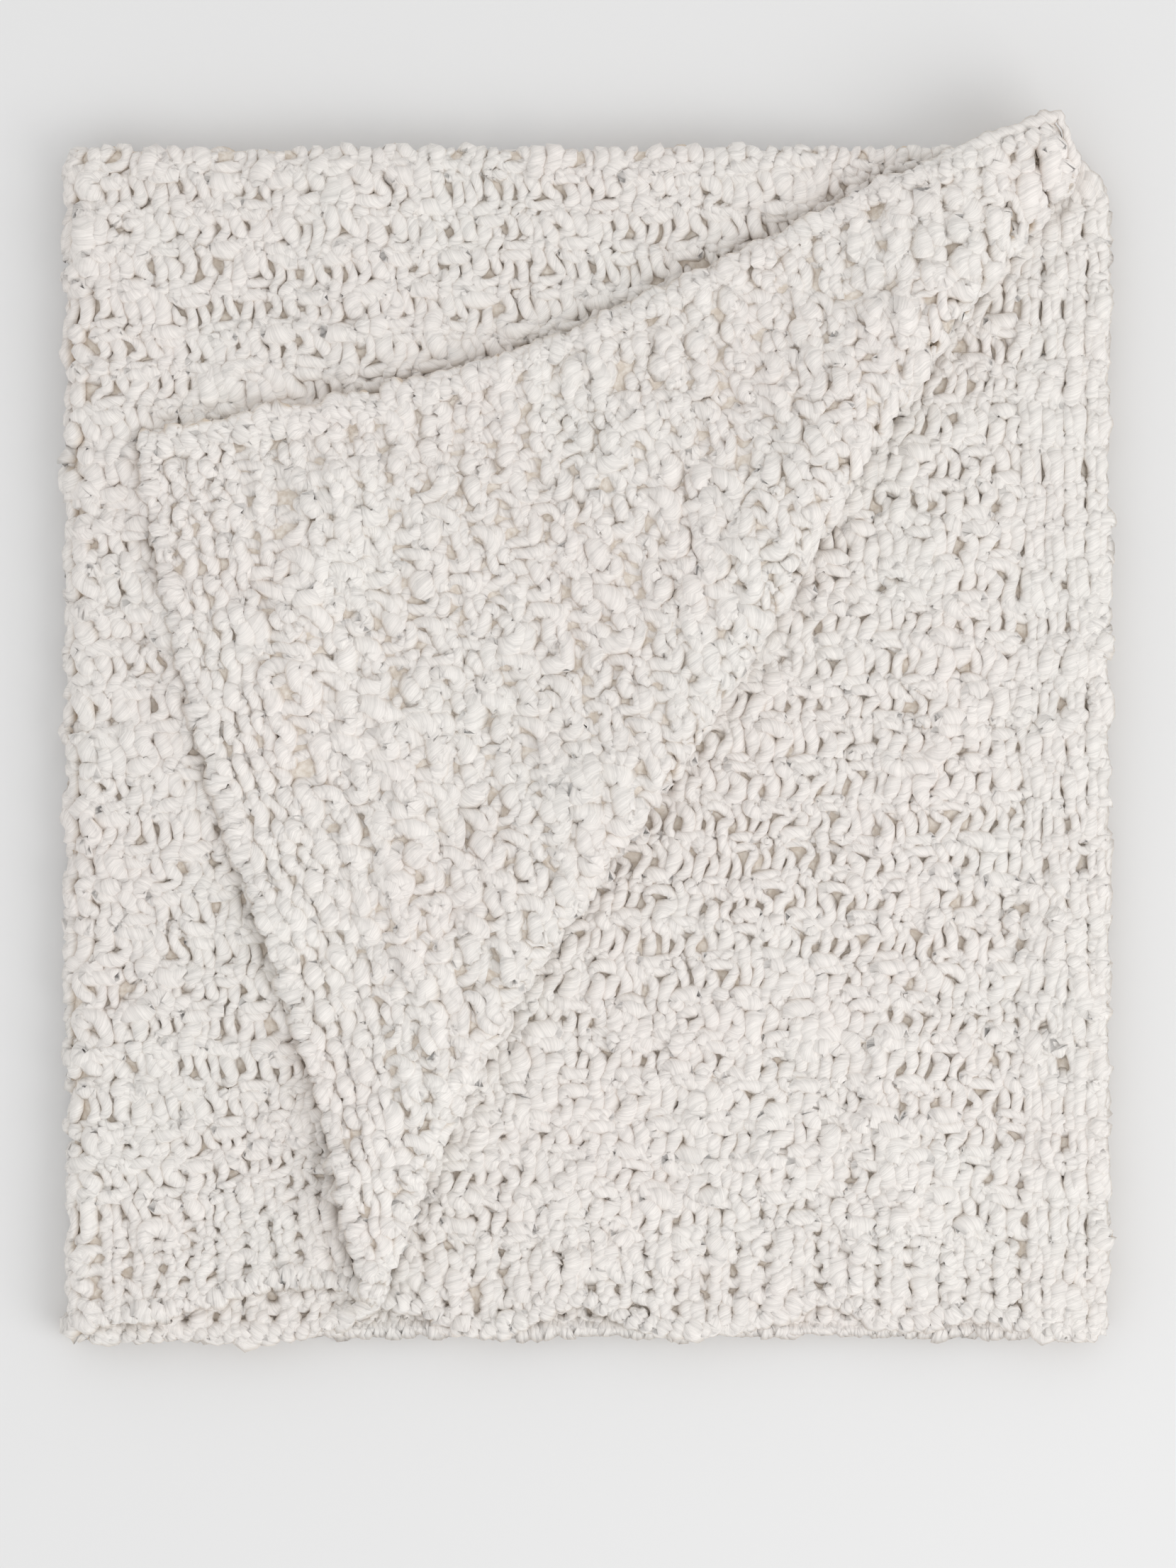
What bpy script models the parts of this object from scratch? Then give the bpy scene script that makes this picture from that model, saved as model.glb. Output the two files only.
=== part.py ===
"""Cotton throw blanket: one knitted panel folded in four, with the top layer's free corner turned back.

The panel starts flat, is cut into a grid where it will bend, and its points are then moved by the folds in the
order in which a hand makes them. Layer 1 is the top one and layer 4 lies on the surface. Metres, +Z up.
"""

import math
from collections import namedtuple

import bmesh
import bpy
import numpy as np

# The flat panel
PANEL_WIDTH = 1.294
PANEL_LENGTH = 1.494
CLOTH = 0.0075  # a chunky slub knit is this thick
GAP = 0.0020  # air between two layers
COTTON = (0.83, 0.81, 0.78)

# The folds
PITCH = CLOTH + GAP
TOP_RADIUS = PITCH / 2  # the first fold, at the panel's middle
SIDE_RADIUS = PITCH  # the second fold, of both layers together
ROLL_RADIUS = 0.009  # the turned corner's crease, which stands up softly
ROLL_FLAT = 0.030  # the flap stays high for so far from the crease
ROLL_RUN = 0.060  # and comes down to the layer below over so much more
STACK = 4 * CLOTH + 3 * GAP
QUARTER = math.pi / 2

# Where the folded pile lies: the fold's axes, and the middle of its outline
FOLD_X = -0.3086
FOLD_Y = 0.3669
MIDDLE_X = -0.0014
MIDDLE_Y = 0.0106

# Mesh
COARSE = 0.075  # spacing of cuts in the hidden layers
FINE = 0.026  # and in the two layers that show
FOLD_STEPS = 8
ROLL_STEPS = 6
SNAP = 0.0015  # a cut this close to a point goes through it

# The turned corner's outline: each edge runs from start to end, bent sideways by three sine bows
Edge = namedtuple("Edge", "start end bows")
CREASE = Edge(start=(0.2948, 0.3619), end=(-0.1415, -0.3435), bows=(-0.0245, 0.0043, -0.0076))
FLAP_TOP = Edge(start=(0.2908, 0.3933), end=(-0.2838, 0.1958), bows=(0.0252, -0.0080, -0.0022))
FLAP_LEFT = Edge(start=(-0.1415, -0.3435), end=(-0.2838, 0.1958), bows=(0.0046, -0.0069, -0.0007))
TIP_REACH = 0.16  # share of the crease that the rolled tip draws upward
TIP_DELAY = 0.45  # share of the roll before it does
TIP_LIFT = 0.005
CREASE_REACH = 0.15  # the layer follows the crease's bow for so far, or up to its top fold
CREASE_SLACK = 0.002

# Soft ridges, each with round ends, over the line from start to end
Ridge = namedtuple("Ridge", "start end width height")
LAYER_RIDGES = (
    Ridge(start=(0.093, -0.127), end=(0.088, -0.267), width=0.030, height=0.0050),
    Ridge(start=(0.191, -0.190), end=(0.194, -0.302), width=0.026, height=0.0060),
    Ridge(start=(0.216, 0.130), end=(0.214, -0.042), width=0.028, height=0.0050),
    Ridge(start=(-0.008, -0.290), end=(-0.008, -0.380), width=0.030, height=0.0060),
    Ridge(start=(0.300, 0.200), end=(0.300, -0.330), width=0.020, height=0.0035),
    Ridge(start=(-0.156, 0.320), end=(-0.138, 0.254), width=0.040, height=0.0050),
    Ridge(start=(-0.297, 0.300), end=(-0.292, 0.220), width=0.026, height=0.0035),
    Ridge(start=(-0.262, 0.000), end=(-0.262, -0.150), width=0.026, height=0.0035),
)
FLAP_RIDGES = (
    Ridge(start=(-0.158, 0.161), end=(-0.184, 0.051), width=0.022, height=0.0085),
    Ridge(start=(-0.114, 0.024), end=(-0.114, -0.130), width=0.022, height=0.0065),
    Ridge(start=(-0.198, -0.064), end=(-0.191, -0.126), width=0.020, height=0.0055),
    Ridge(start=(-0.182, -0.197), end=(-0.158, -0.285), width=0.020, height=0.0055),
    Ridge(start=(0.207, 0.281), end=(0.101, 0.117), width=0.020, height=0.0060),
    Ridge(start=(0.030, 0.201), end=(0.004, 0.130), width=0.030, height=0.0045),
)

# Hems drawn up from the straight line, by layer
Pull = namedtuple("Pull", "layer middle width depth")
HEM_PULLS = (
    Pull(layer=1, middle=-0.185, width=0.075, depth=0.0300),
    Pull(layer=1, middle=-0.300, width=0.050, depth=0.0080),
    Pull(layer=2, middle=-0.125, width=0.035, depth=0.0200),
    Pull(layer=2, middle=-0.009, width=0.030, depth=0.0190),
    Pull(layer=2, middle=0.146, width=0.034, depth=0.0190),
    Pull(layer=2, middle=0.240, width=0.036, depth=0.0120),
    Pull(layer=2, middle=0.060, width=0.200, depth=0.0040),
    Pull(layer=3, middle=0.000, width=0.600, depth=0.0030),
    Pull(layer=4, middle=0.000, width=0.600, depth=0.0045),
)
PULL_REACH = 0.160  # how far above the hem a pull is felt

# The pile's top right corner, drawn in by the crease: far down in layer 1, and just rounded in the others
CORNER_DRAW = 0.029
CORNER_WIDTH = 0.170
CORNER_DEPTH = 0.085
CORNER_ROUND = 0.040
CORNER_ABOVE = 0.015
CORNER_ROWS = (0.007, 0.014, 0.021)


def smooth(share):
    """Eases from 0 to 1."""
    share = np.clip(share, 0.0, 1.0)
    return share * share * (3.0 - 2.0 * share)


def along(edge, share):
    """The points of a bowed edge, at shares of its length."""
    start, end = np.array(edge.start), np.array(edge.end)
    run = end - start
    sideways = np.array((-run[1], run[0])) / np.linalg.norm(run)
    bow = sum(size * np.sin(math.pi * (k + 1) * share) for k, size in enumerate(edge.bows))
    return start + np.outer(share, run) + np.outer(bow, sideways)


def ridges(table, x, y):
    """The height of all the ridges of a table at x, y."""
    total = np.zeros_like(x)
    for ridge in table:
        start, end = np.array(ridge.start), np.array(ridge.end)
        run = end - start
        share = np.clip(((x - start[0]) * run[0] + (y - start[1]) * run[1]) / run.dot(run), 0, 1)
        away = np.hypot(x - start[0] - share * run[0], y - start[1] - share * run[1])
        total += ridge.height * np.exp(-((away / ridge.width) ** 2))
    return total


def fold_in_four(s, t):
    """The first two folds: (x, y, z), and each point's share of the four layers."""
    turn = np.clip(t / TOP_RADIUS, -QUARTER, QUARTER)
    y = FOLD_Y + TOP_RADIUS * np.cos(turn) - np.maximum(np.abs(t) - QUARTER * TOP_RADIUS, 0)
    swing = np.clip(s / SIDE_RADIUS, -QUARTER, QUARTER)
    radius = SIDE_RADIUS + TOP_RADIUS * np.sin(turn)
    x = FOLD_X + np.maximum(np.abs(s) - QUARTER * SIDE_RADIUS, 0) - radius * np.cos(swing)
    z = STACK / 2 + radius * np.sin(swing)
    right, outer = (1 + np.sin(swing)) / 2, (1 + np.sin(turn)) / 2
    layers = {1: right * outer, 2: right * (1 - outer), 3: (1 - right) * (1 - outer), 4: (1 - right) * outer}
    return x, y, z, layers


def hem_line():
    return FOLD_Y - PANEL_LENGTH / 2 + QUARTER * TOP_RADIUS


def side_line():
    return FOLD_X + PANEL_WIDTH / 2 - QUARTER * SIDE_RADIUS


def settle(x, y, layers):
    """How the layers lie in plan: hems drawn up here and there, and the top right corner drawn in."""
    lifted = np.zeros_like(y)
    for pull in HEM_PULLS:
        near = layers[pull.layer] * np.exp(-(((x - pull.middle) / pull.width) ** 2))
        lifted += pull.depth * near
    lifted *= 1 - smooth((y - hem_line()) / PULL_REACH)
    drawn = CORNER_DRAW * smooth((x - side_line() + CORNER_WIDTH) / CORNER_WIDTH)
    start = FOLD_Y + CORNER_ABOVE * (1 - layers[1])
    depth = CORNER_ROUND + (CORNER_DEPTH - CORNER_ROUND) * layers[1]
    drawn *= 1 - smooth((start - y) / depth)
    return x - drawn, y + lifted


def turn_corner(x, y, layers):
    """Turns layer 1's corner back over its crease: (x, y, and the height above layer 1)."""
    first = np.array((side_line(), CREASE.start[1]))
    last = np.array((CREASE.end[0], hem_line()))
    run = last - first
    length = np.linalg.norm(run)
    run = run / length
    out = np.array((-run[1], run[0]))

    # Each point's place along the crease, and how far it is past it
    l = (x - first[0]) * run[0] + (y - first[1]) * run[1]
    d = (x - first[0]) * out[0] + (y - first[1]) * out[1]
    corner = np.array((side_line(), hem_line())) - first
    far, depth = corner.dot(run), corner.dot(out)
    from_side = far * np.clip(d, 0, None) / depth
    from_hem = length + (far - length) * np.clip(d, 0, None) / depth
    share = np.clip((l - from_side) / np.maximum(from_hem - from_side, 1e-6), 0, 1)

    # The crease as it lies, and above it the same line with the tip drawn upward
    low = along(CREASE, share)
    tip = np.array(FLAP_TOP.start) - np.array(CREASE.start)
    near_tip = 1 - smooth(share / TIP_REACH)
    high = low + np.outer(near_tip, tip)

    # Before the crease the layer only follows its bow
    straight_x, straight_y = settle(first[0] + share * length * run[0], first[1] + share * length * run[1], layers)
    to_top = share * length * run[1] / out[1]
    reach = np.minimum(CREASE_REACH, CREASE_SLACK + to_top)
    pull = (1 - smooth(-d / reach)) * layers[1]
    plain_x, plain_y = settle(x, y, layers)
    plain = np.stack((plain_x + pull * (low[:, 0] - straight_x), plain_y + pull * (low[:, 1] - straight_y)), axis=1)

    # On the roll it goes round, and past it the flap spans its three edges
    angle = np.clip(d / ROLL_RADIUS, 0, math.pi)
    risen = smooth((angle / math.pi - TIP_DELAY) / (1 - TIP_DELAY))
    roll = low + (high - low) * risen[:, None] + np.outer(ROLL_RADIUS * np.sin(angle), out)
    over = np.clip((d - math.pi * ROLL_RADIUS) / (depth - math.pi * ROLL_RADIUS), 0, 1)
    top, left = along(FLAP_TOP, over), along(FLAP_LEFT, over)
    chord = np.outer(1 - share, FLAP_TOP.start) + np.outer(share, FLAP_LEFT.start)
    flap = top * (1 - share)[:, None] + left * share[:, None] + (high - chord) * (1 - over)[:, None]

    turned = (layers[1] > 0.999) & (d > 0)
    on_flap = turned & (angle >= math.pi)
    plan = np.where(on_flap[:, None], flap, np.where(turned[:, None], roll, plain))
    down = smooth((d - math.pi * ROLL_RADIUS - ROLL_FLAT) / ROLL_RUN)
    height = ROLL_RADIUS * (1 - np.cos(angle)) - (2 * ROLL_RADIUS - PITCH) * down
    height += risen * (ridges(FLAP_RIDGES, plan[:, 0], plan[:, 1]) + TIP_LIFT * near_tip)
    return plan[:, 0], plan[:, 1], np.where(turned, height, 0)


def fold(s, t):
    """The folded place of each point s across and t along the flat panel."""
    x, y, z, layers = fold_in_four(s, t)
    x, y, height = turn_corner(x, y, layers)
    level = np.clip((z - CLOTH / 2) / (STACK - CLOTH), 0, 1)
    z = z + level * ridges(LAYER_RIDGES, x, y) + height
    return x - MIDDLE_X, y - MIDDLE_Y, z


def cut(bm, point, across, keep=None):
    """Cuts the flat mesh along a line. keep chooses the faces, by their middle."""
    faces = [f for f in bm.faces if keep is None or keep(f.calc_center_median())]
    edges = {e for f in faces for e in f.edges}
    verts = {v for f in faces for v in f.verts}
    geom = faces + list(edges) + list(verts)
    bmesh.ops.bisect_plane(bm, geom=geom, dist=SNAP, plane_co=(*point, 0), plane_no=(*across, 0))


def spaced(start, end, spacing):
    """Places between start and end, evenly, about so far apart. Leaves out the ends."""
    count = max(1, round(abs(end - start) / spacing))
    return [start + (end - start) * k / count for k in range(1, count)]


def cut_panel(bm):
    """Cuts the panel into a grid: close at the folds, closer in the layers that show than in the hidden ones."""
    side, top = QUARTER * SIDE_RADIUS, QUARTER * TOP_RADIUS
    for k in range(FOLD_STEPS + 1):
        cut(bm, (side * (2 * k / FOLD_STEPS - 1), 0), (1, 0))
        cut(bm, (0, top * (2 * k / FOLD_STEPS - 1)), (0, 1))
    for s in spaced(side, PANEL_WIDTH / 2, FINE):
        cut(bm, (s, 0), (1, 0), keep=lambda middle: middle.x > side)
    for s in spaced(side, PANEL_WIDTH / 2, COARSE):
        cut(bm, (-s, 0), (1, 0), keep=lambda middle: middle.x < -side)
    for t in spaced(top, PANEL_LENGTH / 2, FINE):
        cut(bm, (0, t), (0, 1), keep=lambda middle: middle.x > -side)
        cut(bm, (0, -t), (0, 1), keep=lambda middle: middle.x > -side)
    for t in spaced(top, PANEL_LENGTH / 2, COARSE):
        cut(bm, (0, t), (0, 1), keep=lambda middle: middle.x < -side)
        cut(bm, (0, -t), (0, 1), keep=lambda middle: middle.x < -side)
    corner = PANEL_WIDTH / 2 - CORNER_WIDTH
    for row in CORNER_ROWS:
        cut(bm, (0, -top - row), (0, 1), keep=lambda middle: abs(middle.x) > corner)
        cut(bm, (0, top + row), (0, 1), keep=lambda middle: middle.x < -corner)
    cut_crease(bm)


def cut_crease(bm):
    """Cuts layer 1 along its crease, once for each step of the roll."""
    side, top = QUARTER * SIDE_RADIUS, QUARTER * TOP_RADIUS
    first = np.array((PANEL_WIDTH / 2, FOLD_Y - CREASE.start[1] + top))
    last = np.array((CREASE.end[0] - FOLD_X + side, PANEL_LENGTH / 2))
    run = (last - first) / np.linalg.norm(last - first)
    out = np.array((run[1], -run[0]))
    for k in range(ROLL_STEPS + 1):
        point = first + out * math.pi * ROLL_RADIUS * k / ROLL_STEPS
        cut(bm, point, out, keep=lambda middle: middle.x > side and middle.y > top)


def cotton():
    material = bpy.data.materials.new("slub_cotton")
    material.use_nodes = True
    shader = material.node_tree.nodes["Principled BSDF"]
    shader.inputs["Base Color"].default_value = (*COTTON, 1)
    shader.inputs["Roughness"].default_value = 0.9
    shader.inputs["Metallic"].default_value = 0
    return material


def throw():
    bm = bmesh.new()
    bmesh.ops.create_grid(bm, x_segments=1, y_segments=1, size=0.5)
    bmesh.ops.scale(bm, vec=(PANEL_WIDTH, PANEL_LENGTH, 1), verts=bm.verts)
    cut_panel(bm)
    flat = np.array([v.co for v in bm.verts])
    for vert, place in zip(bm.verts, np.stack(fold(flat[:, 0], flat[:, 1]), axis=1)):
        vert.co = place
    mesh = bpy.data.meshes.new("throw")
    bm.to_mesh(mesh)
    bm.free()
    mesh.shade_smooth()
    mesh.materials.append(cotton())
    panel = bpy.data.objects.new("throw", mesh)
    shell = panel.modifiers.new("Cloth", "SOLIDIFY")
    shell.thickness = CLOTH
    shell.offset = 0
    return panel


def main():
    for obj in list(bpy.data.objects):
        bpy.data.objects.remove(obj)
    parts = bpy.data.collections.new("Cotton throw")
    bpy.context.scene.collection.children.link(parts)
    parts.objects.link(throw())


main()
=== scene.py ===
"""Cotton throw blanket, seen from straight above: the knitted yarn of one panel that is folded in four, with
its top corner turned back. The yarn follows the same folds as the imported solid. Metres, +Z up.
"""

import math
from collections import namedtuple

import bmesh
import bpy
import numpy as np
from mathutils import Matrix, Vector


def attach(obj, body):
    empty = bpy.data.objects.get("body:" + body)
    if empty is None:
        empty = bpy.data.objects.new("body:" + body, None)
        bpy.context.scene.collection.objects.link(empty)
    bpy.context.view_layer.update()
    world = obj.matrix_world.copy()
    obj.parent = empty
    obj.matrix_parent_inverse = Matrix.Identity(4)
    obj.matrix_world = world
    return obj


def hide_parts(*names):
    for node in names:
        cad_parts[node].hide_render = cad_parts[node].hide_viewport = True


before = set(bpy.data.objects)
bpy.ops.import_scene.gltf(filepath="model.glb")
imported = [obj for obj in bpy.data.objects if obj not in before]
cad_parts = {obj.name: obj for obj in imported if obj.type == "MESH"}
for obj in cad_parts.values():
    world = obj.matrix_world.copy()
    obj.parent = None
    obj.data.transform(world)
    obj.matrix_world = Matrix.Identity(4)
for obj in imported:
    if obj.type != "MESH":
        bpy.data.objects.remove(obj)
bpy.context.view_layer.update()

# The flat panel and its folds, as in the solid
PANEL_WIDTH = 1.294
PANEL_LENGTH = 1.494
CLOTH = 0.0075
GAP = 0.0020
PITCH = CLOTH + GAP
TOP_RADIUS = PITCH / 2
SIDE_RADIUS = PITCH
ROLL_RADIUS = 0.009
ROLL_FLAT = 0.030
ROLL_RUN = 0.060
STACK = 4 * CLOTH + 3 * GAP
QUARTER = math.pi / 2
WHOLLY = 0.999  # a point with more than this share of a layer is past its folds
FOLD_X = -0.3086
FOLD_Y = 0.3669
MIDDLE_X = -0.0014
MIDDLE_Y = 0.0106

Edge = namedtuple("Edge", "start end bows")
CREASE = Edge(start=(0.2948, 0.3619), end=(-0.1415, -0.3435), bows=(-0.0245, 0.0043, -0.0076))
FLAP_TOP = Edge(start=(0.2908, 0.3933), end=(-0.2838, 0.1958), bows=(0.0252, -0.0080, -0.0022))
FLAP_LEFT = Edge(start=(-0.1415, -0.3435), end=(-0.2838, 0.1958), bows=(0.0046, -0.0069, -0.0007))
TIP_REACH = 0.16
TIP_DELAY = 0.45
TIP_LIFT = 0.005
CREASE_REACH = 0.15
CREASE_SLACK = 0.002

Ridge = namedtuple("Ridge", "start end width height")
LAYER_RIDGES = (
    Ridge(start=(0.093, -0.127), end=(0.088, -0.267), width=0.030, height=0.0050),
    Ridge(start=(0.191, -0.190), end=(0.194, -0.302), width=0.026, height=0.0060),
    Ridge(start=(0.216, 0.130), end=(0.214, -0.042), width=0.028, height=0.0050),
    Ridge(start=(-0.008, -0.290), end=(-0.008, -0.380), width=0.030, height=0.0060),
    Ridge(start=(0.300, 0.200), end=(0.300, -0.330), width=0.020, height=0.0035),
    Ridge(start=(-0.156, 0.320), end=(-0.138, 0.254), width=0.040, height=0.0050),
    Ridge(start=(-0.297, 0.300), end=(-0.292, 0.220), width=0.026, height=0.0035),
    Ridge(start=(-0.262, 0.000), end=(-0.262, -0.150), width=0.026, height=0.0035),
)
FLAP_RIDGES = (
    Ridge(start=(-0.158, 0.161), end=(-0.184, 0.051), width=0.022, height=0.0085),
    Ridge(start=(-0.114, 0.024), end=(-0.114, -0.130), width=0.022, height=0.0065),
    Ridge(start=(-0.198, -0.064), end=(-0.191, -0.126), width=0.020, height=0.0055),
    Ridge(start=(-0.182, -0.197), end=(-0.158, -0.285), width=0.020, height=0.0055),
    Ridge(start=(0.207, 0.281), end=(0.101, 0.117), width=0.020, height=0.0060),
    Ridge(start=(0.030, 0.201), end=(0.004, 0.130), width=0.030, height=0.0045),
)

Pull = namedtuple("Pull", "layer middle width depth")
HEM_PULLS = (
    Pull(layer=1, middle=-0.185, width=0.075, depth=0.0300),
    Pull(layer=1, middle=-0.300, width=0.050, depth=0.0080),
    Pull(layer=2, middle=-0.125, width=0.035, depth=0.0200),
    Pull(layer=2, middle=-0.009, width=0.030, depth=0.0190),
    Pull(layer=2, middle=0.146, width=0.034, depth=0.0190),
    Pull(layer=2, middle=0.240, width=0.036, depth=0.0120),
    Pull(layer=2, middle=0.060, width=0.200, depth=0.0040),
    Pull(layer=3, middle=0.000, width=0.600, depth=0.0030),
    Pull(layer=4, middle=0.000, width=0.600, depth=0.0045),
)
PULL_REACH = 0.160
CORNER_DRAW = 0.029
CORNER_WIDTH = 0.170
CORNER_DEPTH = 0.085
CORNER_ROUND = 0.040
CORNER_ABOVE = 0.015

# The knit: columns and courses of one loop each
SIDE_COLUMNS = 4  # ribs of the side border
SIDE_WIDTH = 0.053
COLUMNS = 66
HEM_COURSES = 5
HEM_DEPTH = 0.062
PAIRS = 55  # pairs of a short course and a tall one
SHORT_COURSE = 0.0066
FOOT_DROP = 0.0050  # a loop's feet lie this far below the head it hangs from
WAVE = 0.0023  # how far the yarn swings to the front and to the back
YARN = 0.0040  # its radius where it is neither thick nor thin
FLATNESS = 0.85  # its height as a share of its width
INNER_SIDE = 0.85  # how near the yarn's surface comes to the middle of a bend
LEAP = 0.014  # a yarn stops where its next point is farther than this,
TORN = 3.5  # or the cloth's area grows by more than this
LUMPS = 0.16  # how uneven it is round itself, as a share of its radius
STRETCH = (0.85, 1.90)  # the least and the most stretch that the yarn's thickness follows
POINTS = 10  # of the yarn's route, a loop
BODY_APART = 0.42  # how far a loop's two legs lie from its middle, as a share of half a column
HEM_APART = 0.29
SIDE_APART = 0.34
JOG = 0.0042  # how far the short courses lie to one side
JOG_REACH = 0.0058
JITTER = 0.0013  # how far a loop strays from its place
TAPER = 0.8  # the ring next to a yarn's end, as a share of its radius
SHORTEST_STEP = 0.0003  # between two rings, in working out how sharply the yarn bends
DOUBLES_BACK = -0.7  # the cosine between two rings past which the yarn has turned round
LEAST_RINGS = 4  # a shorter part of a yarn is left out
FLOOR_GAP = 0.0003  # under the lowest yarn
TWIST = 4.3  # turns of the plies in a loop's length of yarn

# How far courses and columns stray, as waves over the panel: their lengths / 2 pi and where they start
WANDER = 0.0016
Wave = namedtuple("Wave", "s t start")
ASIDE = (Wave(s=0.0172, t=0.0311, start=0), Wave(s=0.0263, t=-0.0149, start=2))
UP = (Wave(s=0.0157, t=-0.0287, start=1), Wave(s=0.0361, t=0.0131, start=4))

# Thick and thin places: how many loops apart they lie, and how much they change the thickness
Slub = namedtuple("Slub", "apart size")
SLUBS = (Slub(apart=7.0, size=0.08), Slub(apart=1.7, size=0.13), Slub(apart=0.40, size=0.22))
SLUB_YARN = 0.05  # how much one yarn differs from the next
THINNEST, THICKEST = -0.30, 0.42  # natural logarithms of the least and the most thickness

# The sheet behind the loops
BEHIND = 0.0014  # the ground lies this far behind the yarn's middle
GROUND_INSET = 0.008
GROUND_SPACING = 0.015
GROUND_THICKNESS = 0.0018
FOLD_POINTS = 13  # across each bend

# How full the yarn is, and the parts of the panel where it is less or more so
Thin = namedtuple("Thin", "s t wide high less")
FULLEST = 1.26
THIN_PLACES = (
    Thin(s=0.330, t=-0.435, wide=0.260, high=0.055, less=0.32),
    Thin(s=0.560, t=-0.110, wide=0.080, high=0.100, less=0.20),
    Thin(s=0.150, t=0.480, wide=0.060, high=0.240, less=0.22),
    Thin(s=0.350, t=0.050, wide=0.160, high=0.060, less=0.18),
    Thin(s=0.350, t=-0.620, wide=0.400, high=0.080, less=-0.10),
    Thin(s=0.350, t=-0.250, wide=0.400, high=0.070, less=-0.10),
    Thin(s=0.400, t=0.560, wide=0.140, high=0.240, less=-0.10),
)

# The chain of stitches along the open edges
EDGE_STITCH = 0.018
EDGE_SWING = 0.0014
EDGE_FULLNESS = 1.05
EDGE_INSET = 0.0068
HEM_SHOWN = 0.010  # so near its edge, a layer shows its yarn from above
HEM_RAISED = 0.0012
HEM_FULLNESS = 1.22

# The border's rows over the crease's tip
TIP_ROWS = 7
TIP_ROW_PITCH = 0.0085
TIP_INSET = 0.0005
TIP_START = 0.006  # past the crease
TIP_END = 0.260  # along the panel
TIP_TRACE = 0.001  # between the points that a row is first traced with
TIP_TRACED = 150  # the number of them in the first row
TIP_FEWER = 6  # and how many fewer each next row has
TIP_STEP = 0.0024  # between its rings
TIP_TURN = 0.0095  # along the row, while its yarn swings round once
TIP_SWING = 0.0012
TIP_RAISED = 0.0010
TIP_SUNK = 0.0065  # how deep a row's last end goes in under the other yarn,
TIP_FIRST_SUNK = 0.6  # and its first end, as a share of that
TIP_SINKS, TIP_FIRST_SINKS = 0.030, 0.010  # over these lengths
TIP_FULLNESS = 0.92
TIP_LOOP = 0.060  # yarn in a loop, for the twist along it

# Where yarn shows: near a layer's open edges and folds, and as far as this under what lies on it
HEM_RIM = 0.032
SIDE_RIM = 0.034
FOLD_RIM = 0.020
UNDER_FLAP = 0.020
UNDER_CREASE = 0.025
OUTLINE_STEPS = 24

# How finely the yarn of each zone is made: steps between its points and its sides. The face that shows is 1
# for the right side, and pieces is the number of objects that the zone's yarn is shared out to
Zone = namedtuple("Zone", "steps sides face pieces")
ZONES = {
    "upper": Zone(steps=2, sides=6, face=1, pieces=2),
    "flap": Zone(steps=2, sides=6, face=1, pieces=2),
    "second": Zone(steps=2, sides=6, face=-1, pieces=2),
    "inner": Zone(steps=1, sides=4, face=1, pieces=1),
    "under": Zone(steps=1, sides=4, face=1, pieces=2),
}

# Camera and light
PHOTO_HEIGHT = 2212
PIXEL = 0.000442  # metres, at the height of the top layer
VIEW_X, VIEW_Y = 0.0003, -0.0332
VIEW_DISTANCE = 4.0
SENSOR = 24
FLOOR_SIZE = 12
FLOOR_DROP = 0.0002
LAMP_PLACE = (2.10, -1.30, 2.40)
LAMP_SIZE = 2.3
LAMP_POWER = 33.0
SKY = 0.86


def linear(hex_colour):
    """An sRGB hex colour as linear RGBA."""
    channels = [int(hex_colour[k : k + 2], 16) / 255 for k in (1, 3, 5)]
    return [c / 12.92 if c <= 0.04045 else ((c + 0.055) / 1.055) ** 2.4 for c in channels] + [1.0]


def add(tree, kind, settings=None, **links):
    """Adds a node: settings are its properties and sockets by name, and links join sockets to other outputs.

    A link's name is the socket's with _ for a space, or _ and the socket's number.
    """
    node = tree.nodes.new(kind)
    for name, value in (settings or {}).items():
        if isinstance(name, int) or name in node.inputs:
            node.inputs[name].default_value = value
        else:
            setattr(node, name, value)
    for name, output in links.items():
        socket = node.inputs[int(name[1:])] if name[0] == "_" else node.inputs[name.replace("_", " ")]
        tree.links.new(output, socket)
    return node


def smooth(share):
    """Eases from 0 to 1."""
    share = np.clip(share, 0.0, 1.0)
    return share * share * (3.0 - 2.0 * share)


def along(edge, share):
    """The points of a bowed edge, at shares of its length."""
    start, end = np.array(edge.start), np.array(edge.end)
    run = end - start
    sideways = np.array((-run[1], run[0])) / np.linalg.norm(run)
    bow = sum(size * np.sin(math.pi * (k + 1) * share) for k, size in enumerate(edge.bows))
    return start + np.outer(share, run) + np.outer(bow, sideways)


def ridges(table, x, y):
    """The height of all the ridges of a table at x, y."""
    total = np.zeros_like(x)
    for ridge in table:
        start, end = np.array(ridge.start), np.array(ridge.end)
        run = end - start
        share = np.clip(((x - start[0]) * run[0] + (y - start[1]) * run[1]) / run.dot(run), 0, 1)
        away = np.hypot(x - start[0] - share * run[0], y - start[1] - share * run[1])
        total += ridge.height * np.exp(-((away / ridge.width) ** 2))
    return total


def fold_in_four(s, t):
    """The first two folds: (x, y, z), and each point's share of the four layers."""
    turn = np.clip(t / TOP_RADIUS, -QUARTER, QUARTER)
    y = FOLD_Y + TOP_RADIUS * np.cos(turn) - np.maximum(np.abs(t) - QUARTER * TOP_RADIUS, 0)
    swing = np.clip(s / SIDE_RADIUS, -QUARTER, QUARTER)
    radius = SIDE_RADIUS + TOP_RADIUS * np.sin(turn)
    x = FOLD_X + np.maximum(np.abs(s) - QUARTER * SIDE_RADIUS, 0) - radius * np.cos(swing)
    z = STACK / 2 + radius * np.sin(swing)
    right, outer = (1 + np.sin(swing)) / 2, (1 + np.sin(turn)) / 2
    layers = {
        1: right * outer,
        2: right * (1 - outer),
        3: (1 - right) * (1 - outer),
        4: (1 - right) * outer,
    }
    return x, y, z, layers


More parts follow.
